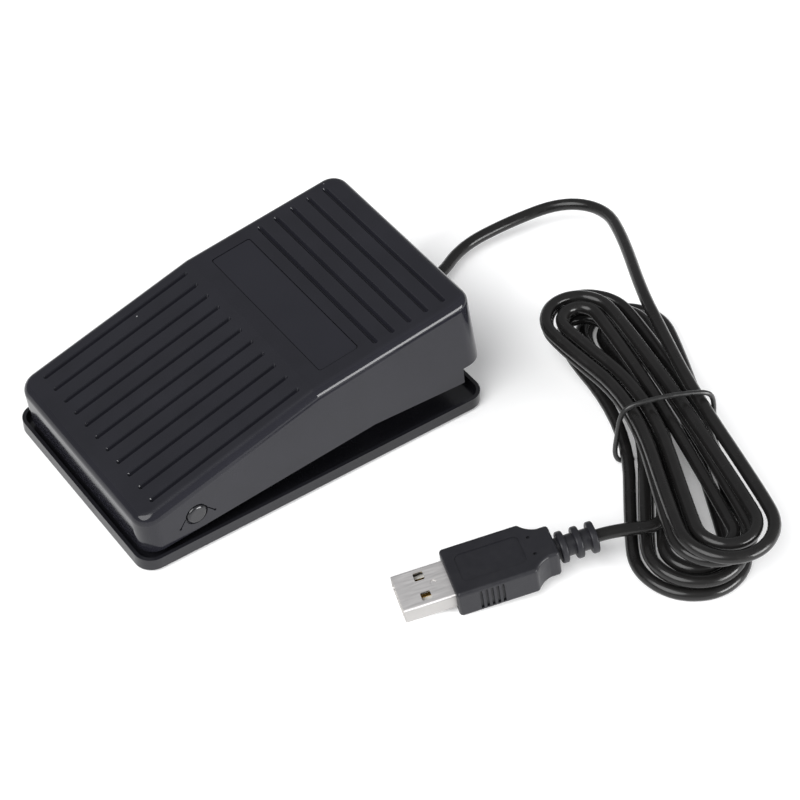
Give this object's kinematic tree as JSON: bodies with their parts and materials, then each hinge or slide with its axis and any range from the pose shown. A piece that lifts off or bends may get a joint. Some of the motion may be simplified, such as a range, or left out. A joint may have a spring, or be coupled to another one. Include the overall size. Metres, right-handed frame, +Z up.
{
  "type": "usb foot pedal switch",
  "caption": "Free-standing foot switch: a sprung, grooved pedal over a shallow tray, with its cable tied in a hank and a plug at its end.",
  "frame": {"origin": "centre of the tray's outline on the ground, under the rubber feet", "axes": "+Z up, +Y towards the rear edge that the cable leaves and the raised end of the pedal, +X to the right seen from the low end"},
  "size_m": [0.1562, 0.1713, 0.0388],
  "materials": {
    "black_gloss": "gloss moulded plastic",
    "black_plastic": "fine satin moulded plastic",
    "board_green": "solder mask on laminate",
    "bright_can": "drawn can",
    "cable_black": "extruded soft jacket",
    "contact_brass": "gold flashed brass",
    "foot_rubber": "moulded rubber",
    "label_grey": "bare printed foil",
    "lever_steel": "spring steel strip",
    "mould_black": "soft satin moulding",
    "plug_steel": "stamped nickel plated steel",
    "plunger_red": "moulded",
    "spring_steel": "drawn spring wire",
    "switch_black": "moulded thermoset",
    "tie_black": "coated wire",
    "white_plastic": "moulded",
    "wire_black": "extruded",
    "wire_green": "extruded",
    "wire_red": "extruded",
    "wire_white": "extruded",
    "zinc_steel": "zinc plated"
  },
  "bodies": {
    "base": {"base_tray": "black_plastic", "board_screws": "zinc_steel", "cable_clamp": "switch_black", "cable_grommet": "foot_rubber", "capacitors": "bright_can", "circuit_board": "board_green", "clamp_screws": "zinc_steel", "controller_chip": "switch_black", "cord_hank": "cable_black", "crystal_can": "bright_can", "foot_front_left": "foot_rubber", "foot_front_right": "foot_rubber", "foot_rear_left": "foot_rubber", "foot_rear_right": "foot_rubber", "hank_tie": "tie_black", "inner_cable": "cable_black", "lead_cord": "cable_black", "pivot_stud_left": "black_gloss", "pivot_stud_right": "black_gloss", "plug_contacts": "contact_brass", "plug_overmould": "mould_black", "plug_shell": "plug_steel", "plug_tongue": "white_plastic", "resistors": "switch_black", "return_spring": "spring_steel", "switch_case": "switch_black", "switch_terminals": "contact_brass", "tail_cord": "cable_black", "wire_black": "wire_black", "wire_green": "wire_green", "wire_header": "white_plastic", "wire_red": "wire_red", "wire_white": "wire_white"},
    "pedal": {"pedal_cover": "black_plastic", "label_plate": "label_grey"},
    "lever": {"switch_lever": "lever_steel"},
    "plunger": {"switch_plunger": "plunger_red"}
  },
  "joints": [
    {"name": "pedal_pivot", "type": "hinge", "parent": "base", "child": "pedal", "pos_m": [0, -0.03565, 0.0117], "axis": [-1, 0, 0], "range_deg": [0, 5.2], "stiffness_Nm_per_rad": 2.5, "springref_deg": -6.88, "deforming": ["return_spring"]},
    {"name": "switch_lever_hinge", "type": "hinge", "parent": "base", "child": "lever", "pos_m": [0, -0.0084, 0.018], "axis": [-1, 0, 0], "range_deg": [0, 12.6]},
    {"name": "switch_plunger_slide", "type": "slide", "parent": "base", "child": "plunger", "axis": [0, 0, -1], "range_m": [0, 0.00096]}
  ],
  "couplings": [
    {"joint": "switch_lever_hinge", "follows": "pedal_pivot", "ratio": 2.4},
    {"joint": "switch_plunger_slide", "follows": "pedal_pivot", "m_per_rad": 0.010452}
  ]
}
